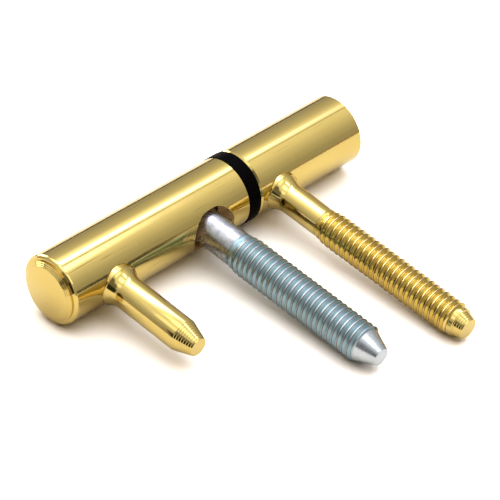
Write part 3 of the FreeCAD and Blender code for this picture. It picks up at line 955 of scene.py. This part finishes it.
def stage_plane(name, place, half):
    """Rectangle of the stage with half sizes along its own X and Y."""
    mesh = bpy.data.meshes.new(name)
    mesh.from_pydata([(-1, -1, 0), (1, -1, 0), (1, 1, 0), (-1, 1, 0)], [], [(0, 1, 2, 3)])
    plane = bpy.data.objects.new(name, mesh)
    plane.matrix_world = place @ Matrix.Diagonal((*half, 1, 1))
    bpy.context.scene.collection.objects.link(plane)
    return plane


def build_floor():
    """Paper that the camera sees overexposed and the metal reflects at its own level."""
    floor = stage_plane("floor", Matrix.Translation((0, 0, FLOOR_LEVEL)), (FLOOR_HALF, FLOOR_HALF))
    material, nodes, links, shader = principled("paper")
    path = nodes.new("ShaderNodeLightPath")
    seen = mixed(nodes, links, path.outputs["Is Camera Ray"], PAPER_IN_METAL, PAPER)
    links.new(seen, shader.inputs["Base Color"])
    shader.inputs["Roughness"].default_value = PAPER_ROUGHNESS
    shader.inputs["Specular IOR Level"].default_value = PAPER_SPECULAR
    floor.data.materials.append(material)


def computed(nodes, links, operation, *values):
    """Output of a math node over values, each of which is a number or another node's output."""
    node = nodes.new("ShaderNodeMath")
    node.operation = operation
    for socket, value in zip(node.inputs, values):
        if isinstance(value, float):
            socket.default_value = value
        else:
            links.new(value, socket)
    return node.outputs["Value"]


def build_softbox(name, centre, half, angle, strength, soft, tint):
    """Glowing panel that fades towards its edges, and that neither the camera nor matt surfaces see."""
    place = Matrix.Translation(centre) @ Matrix.Rotation(angle, 4, "Z")
    panel = stage_plane(name, place, half)
    panel.visible_camera = False
    panel.visible_diffuse = False
    material = bpy.data.materials.new(name)
    material.use_nodes = True
    nodes, links = material.node_tree.nodes, material.node_tree.links
    nodes.clear()
    own = nodes.new("ShaderNodeTexCoord")
    parts = nodes.new("ShaderNodeSeparateXYZ")
    links.new(own.outputs["Object"], parts.inputs["Vector"])
    fades = []
    for axis in ("X", "Y"):
        fade = nodes.new("ShaderNodeMapRange")
        fade.interpolation_type = "SMOOTHSTEP"
        fade.inputs["From Min"].default_value = 1.0
        fade.inputs["From Max"].default_value = 1.0 - soft
        links.new(computed(nodes, links, "ABSOLUTE", parts.outputs[axis]), fade.inputs["Value"])
        fades.append(fade.outputs["Result"])
    product = computed(nodes, links, "MULTIPLY", *fades)
    power = computed(nodes, links, "MULTIPLY", product, strength)
    glow = nodes.new("ShaderNodeEmission")
    glow.inputs["Color"].default_value = (*tint, 1)
    links.new(power, glow.inputs["Strength"])
    clear = nodes.new("ShaderNodeBsdfTransparent")
    both = nodes.new("ShaderNodeAddShader")
    links.new(glow.outputs["Emission"], both.inputs[0])
    links.new(clear.outputs["BSDF"], both.inputs[1])
    output = nodes.new("ShaderNodeOutputMaterial")
    links.new(both.outputs["Shader"], output.inputs["Surface"])
    panel.data.materials.append(material)


def build_world():
    """Room that the metal reflects, a soft overhead light for the floor, and a plain backdrop for the
    camera."""
    world = bpy.data.worlds.new("room")
    bpy.context.scene.world = world
    world.use_nodes = True
    nodes, links = world.node_tree.nodes, world.node_tree.links
    nodes.clear()
    place = nodes.new("ShaderNodeTexCoord")
    parts = nodes.new("ShaderNodeSeparateXYZ")
    links.new(place.outputs["Generated"], parts.inputs["Vector"])
    ramp = nodes.new("ShaderNodeValToRGB")
    elements = ramp.color_ramp.elements
    while len(elements) < len(SKY_STEPS):
        elements.new(NEW_STEP_PLACE)
    brightest = max(level for _, level in SKY_STEPS)
    for element, (height, level) in zip(elements, SKY_STEPS):
        element.position = height
        tint = HORIZON_TINT if height == 0 else WHITE
        element.color = (*(level / brightest * part for part in tint), 1)
    links.new(parts.outputs["Z"], ramp.inputs["Fac"])
    room = nodes.new("ShaderNodeBackground")
    room.inputs["Strength"].default_value = brightest * EXPOSURE
    links.new(ramp.outputs["Color"], room.inputs["Color"])

    overhead = nodes.new("ShaderNodeMapRange")
    overhead.interpolation_type = "SMOOTHSTEP"
    overhead.inputs["From Min"].default_value = DOME_EDGE
    overhead.inputs["To Max"].default_value = DOME_LEVEL
    facing = nodes.new("ShaderNodeVectorMath")
    facing.operation = "DOT_PRODUCT"
    facing.inputs[1].default_value = Vector(DOME_TOWARDS).normalized()
    links.new(place.outputs["Generated"], facing.inputs[0])
    links.new(facing.outputs["Value"], overhead.inputs["Value"])
    warmth = nodes.new("ShaderNodeValToRGB")
    warmth.color_ramp.elements[0].color = (*DOME_TINT, 1)
    warmth.color_ramp.elements[1].position = DOME_WHITE
    links.new(facing.outputs["Value"], warmth.inputs["Fac"])
    dome = nodes.new("ShaderNodeBackground")
    links.new(warmth.outputs["Color"], dome.inputs["Color"])
    links.new(overhead.outputs["Result"], dome.inputs["Strength"])

    pale = nodes.new("ShaderNodeBackground")
    pale.inputs["Color"].default_value = (*BACKDROP, 1)
    path = nodes.new("ShaderNodeLightPath")
    lit = nodes.new("ShaderNodeMixShader")
    links.new(path.outputs["Is Diffuse Ray"], lit.inputs["Fac"])
    links.new(room.outputs["Background"], lit.inputs[1])
    links.new(dome.outputs["Background"], lit.inputs[2])
    choice = nodes.new("ShaderNodeMixShader")
    links.new(path.outputs["Is Camera Ray"], choice.inputs["Fac"])
    links.new(lit.outputs["Shader"], choice.inputs[1])
    links.new(pale.outputs["Background"], choice.inputs[2])
    output = nodes.new("ShaderNodeOutputWorld")
    links.new(choice.outputs["Shader"], output.inputs["Surface"])
    world.cycles.sampling_method = "NONE"


def build_camera():
    data = bpy.data.cameras.new("camera")
    data.sensor_width = SENSOR_WIDTH
    data.lens = VIEW_LENS
    camera = bpy.data.objects.new("camera", data)
    bpy.context.scene.collection.objects.link(camera)
    turn = Matrix.Rotation(VIEW_AZIMUTH, 4, "Z") @ Matrix.Rotation(QUARTER_TURN - VIEW_ELEVATION, 4, "X")
    rolled = turn @ Matrix.Rotation(VIEW_ROLL, 4, "Z")
    offset = turn @ Vector((0, 0, VIEW_DISTANCE)) + rolled @ Vector((*VIEW_SLIDE, 0))
    camera.matrix_world = Matrix.Translation(Vector(VIEW_TARGET) + offset) @ rolled
    bpy.context.scene.camera = camera


def card_place(stance, centre):
    """Matrix of a card with its centre, by the way it stands."""
    shift = Matrix.Translation(centre)
    upright = Matrix.Rotation(QUARTER_TURN, 4, "X")
    if stance == "upright":
        return shift @ upright
    if stance == "sideways":
        return shift @ Matrix.Rotation(QUARTER_TURN, 4, "Z") @ upright
    if stance == "beside_camera":
        return Matrix.Rotation(BESIDE_CAMERA, 4, "Z") @ shift @ upright
    if stance == "towards_hinge":
        return shift @ Vector(centre).to_track_quat("Z", "Y").to_matrix().to_4x4()
    return shift


def build_card(name, place, half, level):
    """Card that only the metal's reflections show: a dim one darkens them and a bright one lights them."""
    card = stage_plane(name, place, half)
    card.visible_camera = False
    card.visible_diffuse = False
    card.visible_shadow = False
    material, _, _, shader = principled(name)
    shader.inputs["Base Color"].default_value = (*BLACK, 1)
    shader.inputs["Specular IOR Level"].default_value = 0.0
    shader.inputs["Emission Color"].default_value = (*WHITE, 1)
    shader.inputs["Emission Strength"].default_value = level
    card.data.materials.append(material)


build_floor()
build_world()
for name, centre, half, degrees, level, soft, tint in SOFTBOXES:
    build_softbox(name, centre, half, math.radians(degrees), level * EXPOSURE, soft, tint)
build_camera()
camera_place = bpy.context.scene.camera.matrix_world
build_card("camera_card", camera_place, CAMERA_CARD_HALF, CAMERA_CARD_LEVEL)
for name, stance, centre, half, level in CARDS:
    build_card(name, card_place(stance, centre), half, level)
bpy.context.scene.view_settings.view_transform = "Standard"
